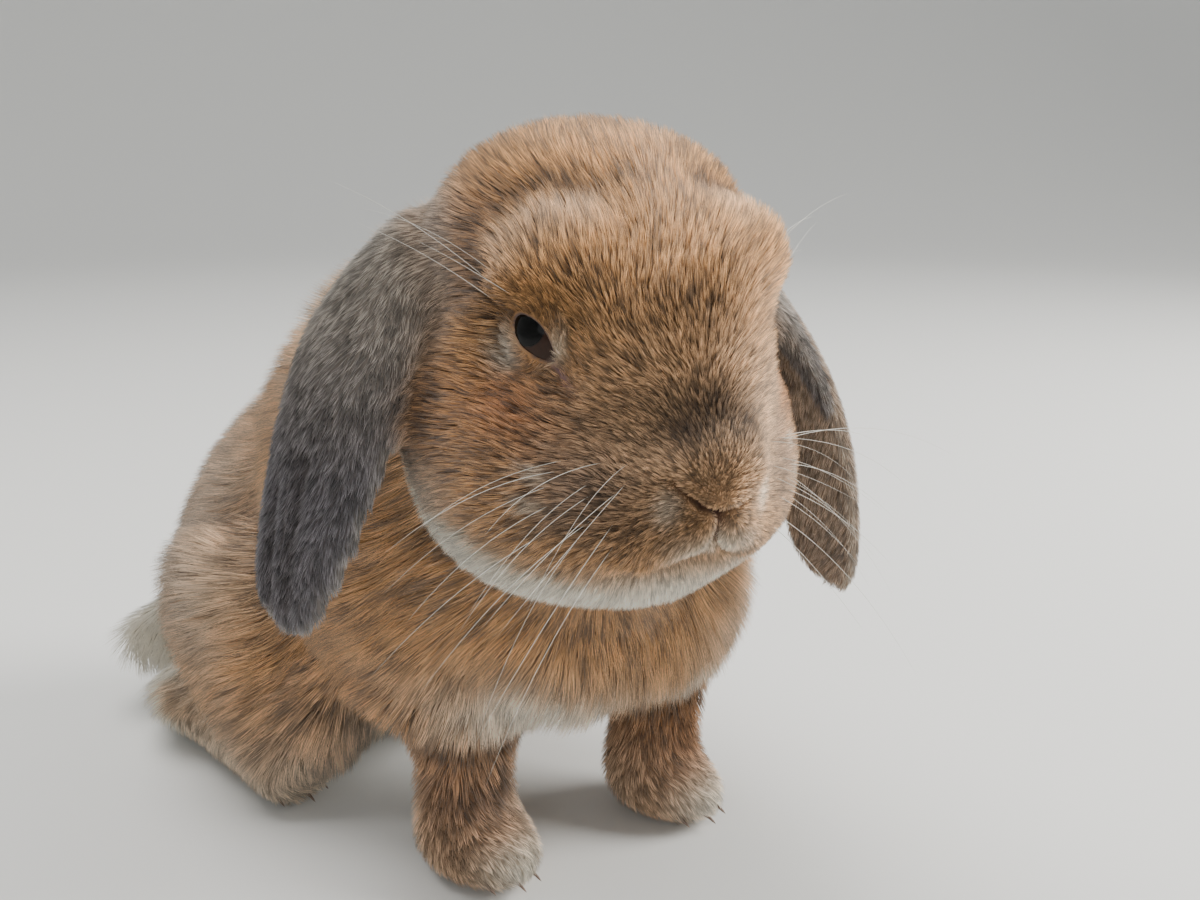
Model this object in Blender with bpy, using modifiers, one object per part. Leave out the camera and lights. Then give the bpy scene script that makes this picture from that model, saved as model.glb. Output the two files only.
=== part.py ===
"""A lop-eared rabbit, sitting with its forelegs straight and its head turned to its right.

Metres, +Z up. The rabbit faces -Y and its right side is at -X. The floor is z = 0. The body is
built whole, out to the tips of its coat, from rounded masses that run smoothly into each other.
Thin cuts then part it into head, neck, trunk, tail, legs and feet. Ears and eyes are their own
shapes, set into the head.
"""
import math

import bmesh
import bpy
import numpy as np
from mathutils import Euler, Matrix, Vector

# Driving dimensions
HEAD_CENTRE = Vector((-0.0380, -0.1178, 0.1670))
HEAD_YAW = math.radians(-24.0)
HEAD_PITCH = math.radians(16.0)
HEAD_ROLL = math.radians(1.0)
EYE_RADIUS = 0.0090
EYE_PLACE = Vector((0.0220, -0.0165, 0.0120))
EAR_WIDTH = 0.046
EAR_THICKNESS = 0.0095
PAW_SPACING = 0.062
PAW_STEP = 0.012
PAW_MID_Y = -0.078
LEG_LEAN = 0.005
HAUNCH_SPACING = 0.071
FOOT_LENGTH = 0.092
GAP = 0.0003
# The middle line of each ear from root to tip, in the skull's frame.
RIGHT_EAR_LINE = (
    (-0.024, 0.020, 0.020),
    (-0.038, 0.020, 0.014),
    (-0.050, 0.018, -0.002),
    (-0.057, 0.014, -0.020),
    (-0.064, 0.010, -0.044),
    (-0.0715, 0.007, -0.072),
)
RIGHT_EAR_TWIST = 0.22
LEFT_EAR_TWIST = 0.0
LEFT_EAR_LINE = (
    (0.024, 0.020, 0.018),
    (0.040, 0.018, 0.010),
    (0.054, 0.011, -0.006),
    (0.064, 0.002, -0.026),
    (0.071, -0.006, -0.050),
    (0.077, -0.014, -0.076),
)
VOXEL = 0.0036
BODY_TRIANGLES = 3600
HEAD_DETAIL = 6e-5
BALL_SEGMENTS = 14
BALL_RINGS = 9
# Name, colour, roughness.
TAN_COAT = ("tan_coat", (0.42, 0.25, 0.12), 0.95)
EAR_COAT = ("ear_coat", (0.22, 0.18, 0.155), 0.95)
WHITE_COAT = ("white_coat", (0.72, 0.67, 0.58), 0.95)
EYE = ("eye", (0.018, 0.010, 0.007), 0.08)


# ---------------------------------------------------------------- rounded masses
class Mass:
    """An ellipsoid with its own centre, radii and turn, run into the rest over the width blend."""

    def __init__(self, centre, radii, turn=(0.0, 0.0, 0.0), blend=0.012, frame=None):
        angles = [math.radians(a) for a in turn]
        place = Matrix.Translation(Vector(centre)) @ Euler(angles).to_matrix().to_4x4()
        self.place = frame @ place if frame else place
        self.radii = Vector(radii)
        self.blend = blend

    def seeds(self):
        return [self.place @ Matrix.Diagonal((*self.radii, 1.0))]

    def distance(self, points):
        back = np.array(self.place.inverted())
        radii = np.array(self.radii)
        local = points @ back[:3, :3].T + back[:3, 3]
        near = np.linalg.norm(local / radii, axis=1)
        slope = np.linalg.norm(local / radii**2, axis=1)
        return near * (near - 1.0) / np.maximum(slope, 1e-9)


class Chain:
    """Ellipsoids close together along a smooth line through a few stations.

    A station is (centre, half width across, half depth); between stations both run smoothly.
    """

    def __init__(self, stations, blend=0.012, links=26):
        centres = np.array([s[0] for s in stations])
        sizes = np.array([s[1:] for s in stations])
        steps = np.linspace(0, len(stations) - 1, links)
        centres = smooth_line(centres, steps)
        sizes = smooth_line(sizes, steps)
        self.masses = []
        for centre, (across, deep) in zip(centres, sizes):
            self.masses.append(Mass(centre, (across, deep, deep)))
        self.blend = blend

    def seeds(self):
        return [mass.seeds()[0] for mass in self.masses]

    def distance(self, points):
        return np.min([mass.distance(points) for mass in self.masses], axis=0)


def smooth_line(values, steps):
    """Catmull-Rom curve through the rows of values, read at the given steps."""
    ends = np.vstack([2 * values[0] - values[1], values, 2 * values[-1] - values[-2]])
    found = []
    for step in steps:
        i = min(int(step), len(values) - 2)
        t = step - i
        a, b, c, d = ends[i:i + 4]
        found.append(b + 0.5 * t * (c - a + t * (2 * a - 5 * b + 4 * c - d + t * (3 * (b - c) + d - a))))
    return np.array(found)


def both_sides(centre, radii, turn=(0.0, 0.0, 0.0), blend=0.012, frame=None):
    """The same mass on the left and, mirrored, on the right."""
    x, y, z = centre
    rx, ry, rz = turn
    return [
        Mass((x, y, z), radii, (rx, ry, rz), blend, frame),
        Mass((-x, y, z), radii, (rx, -ry, -rz), blend, frame),
    ]


# ---------------------------------------------------------------- masses of the body
def head_frame():
    """The skull's own frame: x to its left, y to the back of the head, z to the crown."""
    turn = Euler((HEAD_PITCH, HEAD_ROLL, HEAD_YAW), "XYZ")
    return Matrix.Translation(HEAD_CENTRE) @ turn.to_matrix().to_4x4()


def head_masses():
    frame = head_frame()
    cranium = Mass((0.0, 0.013, 0.002), (0.0420, 0.0400, 0.0430), frame=frame, blend=0.020)
    forehead = Mass((0.0, -0.009, 0.013), (0.0350, 0.0320, 0.0310), frame=frame)
    crown = Mass((0.0, 0.012, 0.0255), (0.0395, 0.0240, 0.0225), frame=frame)
    bridge = Mass((0.0, -0.028, -0.004), (0.0240, 0.0280, 0.0230), frame=frame, blend=0.016)
    nose = Mass((0.0, -0.0475, -0.010), (0.0145, 0.0110, 0.0125), frame=frame, blend=0.007)
    chin = Mass((0.0, -0.021, -0.036), (0.0240, 0.0260, 0.0160), frame=frame)
    throat = Mass((0.0, 0.002, -0.034), (0.0340, 0.0300, 0.0220), frame=frame, blend=0.018)
    cheeks = both_sides((0.0220, -0.003, -0.020), (0.0250, 0.0330, 0.0300), frame=frame)
    jowls = both_sides((0.0220, -0.020, -0.026), (0.0200, 0.0240, 0.0210), frame=frame)
    pads = both_sides((0.0135, -0.0350, -0.0185), (0.0180, 0.0175, 0.0155), frame=frame, blend=0.008)
    brows = both_sides((0.0240, -0.010, 0.0225), (0.0140, 0.0180, 0.0150), frame=frame, blend=0.008)
    return [cranium, forehead, crown, bridge, *cheeks, *jowls, throat, chin, nose, *pads, *brows]


def neck_masses():
    nape = Chain([
        ((-0.026, -0.095, 0.156), 0.034, 0.034),
        ((-0.006, -0.058, 0.150), 0.044, 0.045),
        ((0.006, -0.028, 0.134), 0.047, 0.048),
    ], blend=0.022)
    ruff = Mass((-0.008, -0.086, 0.102), (0.046, 0.034, 0.036), blend=0.020)
    return [nape, ruff, *both_sides((0.034, -0.026, 0.118), (0.020, 0.036, 0.044), blend=0.024)]


def trunk_masses():
    spine = Chain([
        ((0.004, -0.056, 0.096), 0.047, 0.048),
        ((0.010, -0.020, 0.102), 0.049, 0.054),
        ((0.011, 0.020, 0.087), 0.051, 0.056),
        ((0.008, 0.050, 0.068), 0.048, 0.050),
        ((0.003, 0.064, 0.057), 0.039, 0.040),
    ], blend=0.020)
    chest = Mass((0.010, -0.088, 0.083), (0.048, 0.034, 0.036), blend=0.020)
    belly = Chain([
        ((0.002, -0.036, 0.066), 0.046, 0.030),
        ((0.004, 0.014, 0.044), 0.048, 0.036),
        ((0.006, 0.042, 0.036), 0.045, 0.036),
        ((0.004, 0.060, 0.032), 0.037, 0.033),
    ], blend=0.018, links=16)
    return [spine, chest, belly]


def foreleg_masses(side, paw_y):
    """side is 1 for the left leg and -1 for the right; paw_y is where the paw stands."""
    paw_x = side * PAW_SPACING / 2
    shoulder = Mass((side * 0.034, paw_y + 0.023, 0.092), (0.025, 0.036, 0.042), blend=0.020)
    leg = Chain([
        ((paw_x + side * 0.004 + LEG_LEAN, paw_y + 0.010, 0.066), 0.0225, 0.0250),
        ((paw_x + side * 0.002 + LEG_LEAN, paw_y + 0.008, 0.042), 0.0180, 0.0185),
        ((paw_x, paw_y + 0.006, 0.018), 0.0160, 0.0165),
    ], blend=0.012, links=9)
    paw = Mass((paw_x, paw_y - 0.001, 0.0085), (0.0165, 0.0215, 0.0120), blend=0.008)
    return [shoulder, leg, paw]


def hindleg_masses(side):
    x = side * HAUNCH_SPACING / 2
    thigh = Mass((x, 0.032, 0.050), (0.024, 0.035, 0.043), (-26, side * 8, 0), blend=0.012)
    knee = Mass((x + side * 0.003, 0.012, 0.036), (0.021, 0.026, 0.028), blend=0.016)
    toe_y = 0.087 - FOOT_LENGTH
    foot = Chain([
        ((x - side * 0.002, 0.075, 0.016), 0.0150, 0.0155),
        ((x + side * 0.003, toe_y + 0.030, 0.011), 0.0140, 0.0125),
        ((x + side * 0.006, toe_y + 0.013, 0.009), 0.0140, 0.0105),
    ], blend=0.008, links=14)
    return [thigh, knee, foot]


def tail_masses():
    return [Chain([
        ((-0.008, 0.076, 0.054), 0.0120, 0.0120),
        ((-0.018, 0.091, 0.040), 0.0120, 0.0120),
        ((-0.029, 0.106, 0.028), 0.0125, 0.0120),
    ], blend=0.010, links=10)]


def all_masses():
    return [
        *trunk_masses(),
        *neck_masses(),
        *foreleg_masses(1, PAW_MID_Y - PAW_STEP),
        *foreleg_masses(-1, PAW_MID_Y + PAW_STEP),
        *hindleg_masses(1),
        *hindleg_masses(-1),
        *tail_masses(),
        *head_masses(),
    ]


def joined(first, second, blend):
    """Distance to two shapes run into each other over the width blend."""
    near = np.maximum(blend - np.abs(first - second), 0.0) / blend
    return np.minimum(first, second) - near**2 * blend / 4


def body_distance(masses, points):
    """Signed distance to the coat."""
    body = masses[0].distance(points)
    for mass in masses[1:]:
        body = joined(body, mass.distance(points), mass.blend)
    return body


# ---------------------------------------------------------------- making the body
def new_object(name, mesh):
    obj = bpy.data.objects.new(name, mesh)
    bpy.context.scene.collection.objects.link(obj)
    return obj


def evaluated_copy(obj):
    """A plain mesh of the object with its modifiers applied; the object itself is removed."""
    graph = bpy.context.evaluated_depsgraph_get()
    mesh = bpy.data.meshes.new_from_object(obj.evaluated_get(graph))
    bpy.data.objects.remove(obj)
    return mesh


def mesh_from(bm, name):
    mesh = bpy.data.meshes.new(name)
    bm.to_mesh(mesh)
    bm.free()
    return mesh


def fused(masses):
    """One closed mesh round all the masses."""
    ball = bmesh.new()
    bmesh.ops.create_uvsphere(ball, u_segments=20, v_segments=12, radius=1.0)
    ball = mesh_from(ball, "ball")
    bm = bmesh.new()
    for mass in masses:
        for matrix in mass.seeds():
            ball.transform(matrix)
            bm.from_mesh(ball)
            ball.transform(matrix.inverted())
    return remeshed(mesh_from(bm, "masses"))


def drawn_to_surface(mesh, masses, rounds):
    """Moves each vertex along the slope of the distance until it lies on the coat's surface."""
    step = 1e-4
    flat = np.empty(len(mesh.vertices) * 3)
    mesh.vertices.foreach_get("co", flat)
    points = flat.reshape(-1, 3)
    for _ in range(rounds):
        here = body_distance(masses, points)
        slope = np.stack([(body_distance(masses, points + step * axis) - here) / step for axis in np.eye(3)], 1)
        size = np.maximum((slope**2).sum(1), 0.3)
        points = points - (here / size)[:, None] * slope
    mesh.vertices.foreach_set("co", points.ravel())
    mesh.update()


def remeshed(mesh):
    """The mesh made again from even faces, with no fold left in a crease."""
    obj = new_object("remeshed", mesh)
    remesh = obj.modifiers.new("Even", "REMESH")
    remesh.mode = "VOXEL"
    remesh.voxel_size = VOXEL
    return evaluated_copy(obj)


def evened(mesh, rounds):
    bm = bmesh.new()
    bm.from_mesh(mesh)
    for _ in range(rounds):
        bmesh.ops.smooth_vert(bm, verts=bm.verts, factor=0.5, use_axis_x=True, use_axis_y=True, use_axis_z=True)
    bm.to_mesh(mesh)
    bm.free()


def whole_body():
    """The body to the tips of its coat, standing on small flats at z = 0."""
    masses = all_masses()
    mesh = fused(masses)
    drawn_to_surface(mesh, masses, 3)
    mesh = remeshed(mesh)
    drawn_to_surface(mesh, masses, 1)
    evened(mesh, 1)
    obj = new_object("whole", mesh)
    coarse = obj.vertex_groups.new(name="coarse")
    for vert in mesh.vertices:
        near_head = (vert.co - HEAD_CENTRE).length < 0.062
        coarse.add([vert.index], 0.5 if near_head else 1.0, "REPLACE")
    thin = obj.modifiers.new("Thin", "DECIMATE")
    thin.ratio = BODY_TRIANGLES / (2 * len(mesh.polygons))
    thin.vertex_group = coarse.name
    thin.vertex_group_factor = HEAD_DETAIL
    mesh = evaluated_copy(obj)
    bm = bmesh.new()
    bm.from_mesh(mesh)
    everything = bm.verts[:] + bm.edges[:] + bm.faces[:]
    bmesh.ops.bisect_plane(bm, geom=everything, plane_co=(0, 0, 0), plane_no=(0, 0, -1), clear_outer=True)
    bmesh.ops.holes_fill(bm, edges=[e for e in bm.edges if e.is_boundary])
    bm.to_mesh(mesh)
    bm.free()
    return new_object("whole", mesh)


# ---------------------------------------------------------------- parting the body
def placed(centre, size, turn=(0.0, 0.0, 0.0)):
    """A matrix that takes a unit shape to this centre, size and turn in degrees."""
    angles = [math.radians(a) for a in turn]
    return Matrix.Translation(Vector(centre)) @ Euler(angles).to_matrix().to_4x4() @ Matrix.Diagonal((*size, 1.0))


def block(name, matrix, grow):
    bm = bmesh.new()
    sizes = [(s + 2 * grow) / s for s in matrix.to_scale()]
    bmesh.ops.create_cube(bm, size=1.0, matrix=matrix @ Matrix.Diagonal((*sizes, 1.0)))
    return new_object(name, mesh_from(bm, name))


def ball(name, matrix, grow=0.0, segments=BALL_SEGMENTS, rings=BALL_RINGS):
    bm = bmesh.new()
    sizes = [(s + grow) / s for s in matrix.to_scale()]
    matrix = matrix @ Matrix.Diagonal((*sizes, 1.0))
    bmesh.ops.create_uvsphere(bm, u_segments=segments, v_segments=rings, radius=1.0, matrix=matrix)
    return new_object(name, mesh_from(bm, name))


def boolean(obj, other, operation):
    """The object's mesh after an exact Boolean with the other object, which is then removed."""
    cut = obj.modifiers.new("Cut", "BOOLEAN")
    cut.operation = operation
    cut.object = other
    cut.solver = "EXACT"
    graph = bpy.context.evaluated_depsgraph_get()
    mesh = bpy.data.meshes.new_from_object(obj.evaluated_get(graph))
    obj.modifiers.clear()
    bpy.data.objects.remove(other)
    return mesh


def grown(obj):
    """A copy of the object swollen by the gap, to cut its neighbour back from it."""
    mesh = obj.data.copy()
    for vert in mesh.vertices:
        vert.co += GAP * vert.normal
    return new_object("grown", mesh)


def part_off(body, name, shape, matrix):
    """Parts what lies in the shape from the body, as a new object, leaving a thin gap."""
    piece = new_object(name, boolean(body, shape("inside", matrix, -GAP), "INTERSECT"))
    body.data = boolean(body, shape("outside", matrix, 0.0), "DIFFERENCE")
    return piece


# ---------------------------------------------------------------- ears and eyes
def ear(name, line, side, twist):
    """A long flat ear, rolled at its root, that comes out sideways and hangs down the cheek."""
    line = np.array(line)
    bm = bmesh.new()
    bmesh.ops.create_uvsphere(bm, u_segments=14, v_segments=20, radius=1.0)
    for vert in bm.verts:
        turn = math.atan2(vert.co.y, vert.co.x)
        along = (1.0 - vert.co.z) / 2
        step = along * (len(line) - 1)
        here, before, after = smooth_line(line, [step, max(step - 0.1, 0.0), min(step + 0.1, len(line) - 1.0)])
        down = Vector(after - before).normalized()
        front = Vector((-side * twist * min(along * 1.6, 1.0), -1.0, 0.0))
        front = (front - front.dot(down) * down).normalized()
        outer = front.cross(down) * side
        end = max(1.0 - vert.co.z**2, 0.0) ** 0.26
        width = EAR_WIDTH / 2 * end * (0.60 + 0.40 * min(along * 2.0, 1.0))
        thick = EAR_THICKNESS / 2 * end * (2.0 - min(along * 3.0, 1.0))
        across = math.cos(turn)
        bow = 0.005 * (1.0 - across * across) * end
        vert.co = Vector(here) + front * width * across + outer * (thick * math.sin(turn) + bow)
    if bm.calc_volume(signed=True) < 0:
        bmesh.ops.reverse_faces(bm, faces=bm.faces)
    bm.transform(head_frame())
    return new_object(name, mesh_from(bm, name))


def set_in_eye_and_ear(head, others, side_name, side, line, twist):
    """Gives one side of the head its eye, sunk in a socket, and its ear, rooted in a pocket."""
    place = head_frame() @ Matrix.Translation((side * EYE_PLACE.x, EYE_PLACE.y, EYE_PLACE.z))
    eyeball = place @ Matrix.Scale(EYE_RADIUS, 4)
    hollow = place @ Matrix.Translation((side * 0.0120, -0.0040, 0.0)) @ Matrix.Diagonal((0.0100, 0.0115, 0.0078, 1.0))
    head.data = boolean(head, ball("socket", eyeball, GAP), "DIFFERENCE")
    head.data = boolean(head, ball("hollow", hollow), "DIFFERENCE")
    flap = ear("ear_" + side_name, line, side, twist)
    for near in (head, *others):
        near.data = boolean(near, grown(flap), "DIFFERENCE")
    return ball("eye_" + side_name, eyeball), flap


# ---------------------------------------------------------------- finish
def painted(objects, name, color, roughness):
    """One material for all these objects."""
    material = bpy.data.materials.new(name)
    material.use_nodes = True
    shader = material.node_tree.nodes["Principled BSDF"]
    shader.inputs["Base Color"].default_value = (*color, 1.0)
    shader.inputs["Roughness"].default_value = roughness
    shader.inputs["Metallic"].default_value = 0.0
    for obj in objects:
        obj.data.materials.clear()
        obj.data.materials.append(material)


def finish(objects):
    """Puts the origin under the middle of the whole box, rounds the shading and groups the parts."""
    corners = np.array([vert.co for obj in objects for vert in obj.data.vertices])
    middle = (corners.min(0) + corners.max(0)) / 2
    group = bpy.data.collections.new("lop_rabbit")
    bpy.context.scene.collection.children.link(group)
    for obj in objects:
        obj.data.transform(Matrix.Translation((-middle[0], -middle[1], 0.0)))
        obj.data.shade_smooth()
        obj.data.set_sharp_from_angle(angle=math.radians(50))
        bpy.context.scene.collection.objects.unlink(obj)
        group.objects.link(obj)


# ---------------------------------------------------------------- the rabbit
for old in list(bpy.data.objects):
    bpy.data.objects.remove(old)
trunk = whole_body()
head = part_off(trunk, "head", block, placed((-0.030, -0.150, 0.150), (0.20, 0.110, 0.26), (-30, 0, -21)))
neck = part_off(trunk, "neck", block, placed((-0.016, -0.078, 0.210), (0.20, 0.160, 0.110), (38, 0, -10)))
tail = part_off(trunk, "tail", block, placed((-0.0260, 0.112, 0.036), (0.046, 0.050, 0.10), (-20, 0, 6)))
coats = [head, neck]
paws = []
eyes = []
ears = []
for side_name, side, paw_y in (("left", 1, PAW_MID_Y - PAW_STEP), ("right", -1, PAW_MID_Y + PAW_STEP)):
    x = side * 0.056 + LEG_LEAN
    paws.append(part_off(trunk, "forepaw_" + side_name, block, placed((x, paw_y, 0.004), (0.100, 0.060, 0.034))))
    leg = part_off(trunk, "foreleg_" + side_name, block, placed((x, paw_y + 0.012, 0.030), (0.100, 0.090, 0.064)))
    paws.append(part_off(trunk, "hindfoot_" + side_name, block, placed((side * 0.052, 0.034, 0.005), (0.070, 0.130, 0.036))))
    thigh = part_off(trunk, "thigh_" + side_name, ball, placed((side * 0.066, 0.042, 0.050), (0.040, 0.050, 0.046)))
    coats += [leg, thigh]
trunk.name = "trunk"
coats.append(trunk)
for side_name, side, line, twist in (
    ("right", -1, RIGHT_EAR_LINE, RIGHT_EAR_TWIST),
    ("left", 1, LEFT_EAR_LINE, LEFT_EAR_TWIST),
):
    eye, flap = set_in_eye_and_ear(head, (neck, trunk), side_name, side, line, twist)
    eyes.append(eye)
    ears.append(flap)
painted(coats, *TAN_COAT)
painted(ears, *EAR_COAT)
painted([tail, *paws], *WHITE_COAT)
painted(eyes, *EYE)
finish([*coats, *ears, tail, *paws, *eyes])
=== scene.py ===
import math

import bmesh
import bpy
import numpy as np
from mathutils import Euler, Matrix, Vector
from mathutils.bvhtree import BVHTree
from mathutils.kdtree import KDTree


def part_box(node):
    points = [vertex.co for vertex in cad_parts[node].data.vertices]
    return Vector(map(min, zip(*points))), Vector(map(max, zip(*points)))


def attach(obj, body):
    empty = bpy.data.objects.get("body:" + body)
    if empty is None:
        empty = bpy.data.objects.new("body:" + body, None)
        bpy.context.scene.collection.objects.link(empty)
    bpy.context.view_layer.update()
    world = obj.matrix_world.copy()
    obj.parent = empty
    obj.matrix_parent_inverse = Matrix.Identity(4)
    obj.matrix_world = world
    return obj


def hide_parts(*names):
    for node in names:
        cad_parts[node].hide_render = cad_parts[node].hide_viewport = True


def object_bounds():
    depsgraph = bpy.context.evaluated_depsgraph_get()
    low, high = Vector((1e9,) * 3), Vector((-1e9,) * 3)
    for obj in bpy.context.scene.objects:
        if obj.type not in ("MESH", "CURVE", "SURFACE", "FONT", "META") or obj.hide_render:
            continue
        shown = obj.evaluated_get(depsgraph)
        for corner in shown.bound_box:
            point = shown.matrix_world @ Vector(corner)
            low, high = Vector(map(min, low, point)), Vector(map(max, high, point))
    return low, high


for leftover in ("Cube", "Light", "Camera"):
    if leftover in bpy.data.objects:
        bpy.data.objects.remove(bpy.data.objects[leftover])
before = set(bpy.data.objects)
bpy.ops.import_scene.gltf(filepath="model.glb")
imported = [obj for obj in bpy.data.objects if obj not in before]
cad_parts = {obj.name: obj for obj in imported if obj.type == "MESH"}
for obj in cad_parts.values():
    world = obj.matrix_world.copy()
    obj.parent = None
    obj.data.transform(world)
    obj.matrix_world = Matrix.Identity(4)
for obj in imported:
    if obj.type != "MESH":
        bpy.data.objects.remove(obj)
cad_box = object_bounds()

# ------------------------------------------------------------------ studio
# A pale seamless floor that turns up into a wall all round, with a wide soft
# lamp overhead, a strong one ahead on one side and a faint one on the other.
# None of it is part of the rabbit.
FLOOR_REACH = 1.6
FLOOR_DROP = -0.0005
FLOOR_SIDES = 64
FLOOR_ROUGHNESS = 0.85
WALL_RADIUS = 1.2
WALL_STEPS = 12
WALL_TOP = 2.6
FLOOR_COLOR = (0.74, 0.74, 0.72, 1.0)
CAMERA_PLACE = (-0.2385, -0.2611, 0.2200)
CAMERA_TURN = (74.09, 0.0, -52.0)
CAMERA_LENS = 36.0
CAMERA_SENSOR = 36.0
CAMERA_NEAR = 0.01
SKY_COLOR = (0.93, 0.96, 1.0, 1.0)
SKY_STRENGTH = 0.50
LAMP_AIM = Vector((0.0, 0.0, 0.1))
LAMPS = (
    ("lamp_over", (-0.10, 0.35, 1.30), 1.1, 18.0, (1.0, 0.98, 0.95)),
    ("lamp_right", (0.90, -0.85, 0.70), 0.8, 30.0, (1.0, 0.98, 0.94)),
    ("lamp_front", (-1.10, -0.60, 0.70), 0.9, 2.0, (0.96, 0.98, 1.0)),
)


def new_material(name):
    """A new node material, and its nodes, links and shader."""
    material = bpy.data.materials.new(name)
    material.use_nodes = True
    nodes = material.node_tree.nodes
    return material, nodes, material.node_tree.links, nodes["Principled BSDF"]


def build_floor():
    bm = bmesh.new()
    profile = [(0.5, FLOOR_DROP), (1.0, FLOOR_DROP), (FLOOR_REACH, FLOOR_DROP)]
    for step in range(1, WALL_STEPS + 1):
        angle = math.radians(90.0 * step / WALL_STEPS)
        rise = WALL_RADIUS * (1.0 - math.cos(angle))
        profile.append((FLOOR_REACH + WALL_RADIUS * math.sin(angle), rise))
    profile.append((FLOOR_REACH + WALL_RADIUS, WALL_TOP))
    rings = []
    for radius, height in profile:
        ring = []
        for step in range(FLOOR_SIDES):
            angle = math.tau * step / FLOOR_SIDES
            ring.append(bm.verts.new((radius * math.cos(angle), radius * math.sin(angle), height)))
        rings.append(ring)
    bm.faces.new(rings[0])
    for inner, outer in zip(rings, rings[1:]):
        for step in range(FLOOR_SIDES):
            after = (step + 1) % FLOOR_SIDES
            bm.faces.new((inner[step], outer[step], outer[after], inner[after]))
    mesh = bpy.data.meshes.new("floor")
    bm.to_mesh(mesh)
    bm.free()
    mesh.shade_smooth()
    floor = bpy.data.objects.new("floor", mesh)
    bpy.context.scene.collection.objects.link(floor)
    material, _, _, shader = new_material("floor_paint")
    shader.inputs["Base Color"].default_value = FLOOR_COLOR
    shader.inputs["Roughness"].default_value = FLOOR_ROUGHNESS
    mesh.materials.append(material)


build_floor()
for lamp_name, place, size, power, color in LAMPS:
    data = bpy.data.lights.new(lamp_name, "AREA")
    data.shape = "DISK"
    data.size = size
    data.energy = power
    data.color = color
    lamp = bpy.data.objects.new(lamp_name, data)
    lamp.location = place
    lamp.rotation_euler = (LAMP_AIM - Vector(place)).to_track_quat("-Z", "Y").to_euler()
    bpy.context.scene.collection.objects.link(lamp)
world = bpy.data.worlds.new("studio")
world.use_nodes = True
sky = world.node_tree.nodes["Background"]
sky.inputs["Color"].default_value = SKY_COLOR
sky.inputs["Strength"].default_value = SKY_STRENGTH
bpy.context.scene.world = world
camera = bpy.data.objects.new("camera", bpy.data.cameras.new("camera"))
camera.location = CAMERA_PLACE
camera.rotation_euler = [math.radians(angle) for angle in CAMERA_TURN]
camera.data.lens = CAMERA_LENS
camera.data.sensor_width = CAMERA_SENSOR
camera.data.clip_start = CAMERA_NEAR
bpy.context.scene.collection.objects.link(camera)
bpy.context.scene.camera = camera

# ------------------------------------------------------------------ skin
# One hide over the whole animal, under the fur. It follows the solid shape at
# the depth of the coat, and carries the eyelids, nose, mouth and ear folds.
MM = 0.001
SEAM_CLOSE = 0.45 * MM
EAR_DEPTH = 0.6
FIRST_VOXEL = 2.2 * MM
SKIN_VOXEL = 1.9 * MM
REGIONS = ("head", "neck", "trunk", "tail", "ear", "foreleg", "forepaw", "thigh", "hindfoot")
COAT_DEPTH = {
    "neck": 8.0, "trunk": 9.0, "tail": 3.5, "ear": 1.3, "foreleg": 4.0,
    "forepaw": 2.2, "thigh": 8.0, "hindfoot": 2.6,
}
FACE_REACH = (0.0, 10.0, 22.0, 42.0, 70.0, 100.0)
FACE_DEPTH = (0.7, 1.2, 1.9, 3.0, 3.6, 4.4)
HEAD_TURN = np.array(Euler([math.radians(a) for a in (16.0, 1.0, -24.0)]).to_matrix())
EYE_PLACE = np.array((0.0, -16.5, 12.0))
EYE_ASIDE = 22.0
EYE_RADIUS = 9.0
PLUG_OFFSET = (23.0, -1.0, 0.0)
PLUG_RADIUS = 11.0
SINK_STEPS = 4
SMALLEST_SHELL = 1000
NOSE_TIP = np.array((0.0, -59.0, -8.0))


def middle(node):
    low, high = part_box(node)
    return np.array((low + high) / 2)


HEAD_CENTRE = (middle("eye_right") + middle("eye_left")) / 2 - HEAD_TURN @ EYE_PLACE * MM


def in_head(points):
    """Places in the skull's own frame, in millimetres: x to its left, y back, z up."""
    return (points - HEAD_CENTRE) @ HEAD_TURN / MM


def out_of_head(vectors):
    return vectors @ HEAD_TURN.T


def columns(mesh_items, name, width, kind=np.float32):
    values = np.empty(len(mesh_items) * width, kind)
    mesh_items.foreach_get(name, values)
    return values.reshape(-1, width)


def unit(vectors):
    return vectors / np.maximum(np.linalg.norm(vectors, axis=1, keepdims=True), 1e-12)


def smoothstep(low, high, value):
    t = np.clip((value - low) / (high - low), 0.0, 1.0)
    return t * t * (3.0 - 2.0 * t)


def welded(node, outward):
    """A node's own faces, joined at their edges and pushed out a little."""
    bm = bmesh.new()
    bm.from_mesh(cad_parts[node].data)
    bmesh.ops.remove_doubles(bm, verts=bm.verts, dist=1e-5)
    bm.normal_update()
    for vert in bm.verts:
        vert.co += vert.normal * outward
    return bm


def spread(values, ends, rounds, keep=0.0):
    """Averages each vertex's values with its neighbours', a number of times."""
    count = len(values)
    first = np.concatenate((ends[:, 0], ends[:, 1]))
    second = np.concatenate((ends[:, 1], ends[:, 0]))
    degree = np.maximum(np.bincount(first, minlength=count), 1)
    values = values.copy()
    for _ in range(rounds):
        for column in range(values.shape[1]):
            total = np.bincount(first, values[second, column], count) / degree
            values[:, column] = keep * values[:, column] + (1.0 - keep) * total
    return values


def remeshed(obj, voxel):
    modifier = obj.modifiers.new("remesh", "REMESH")
    modifier.mode = "VOXEL"
    modifier.voxel_size = voxel
    finished = obj.evaluated_get(bpy.context.evaluated_depsgraph_get())
    mesh = bpy.data.meshes.new_from_object(finished)
    obj.modifiers.clear()
    obj.data = mesh


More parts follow.
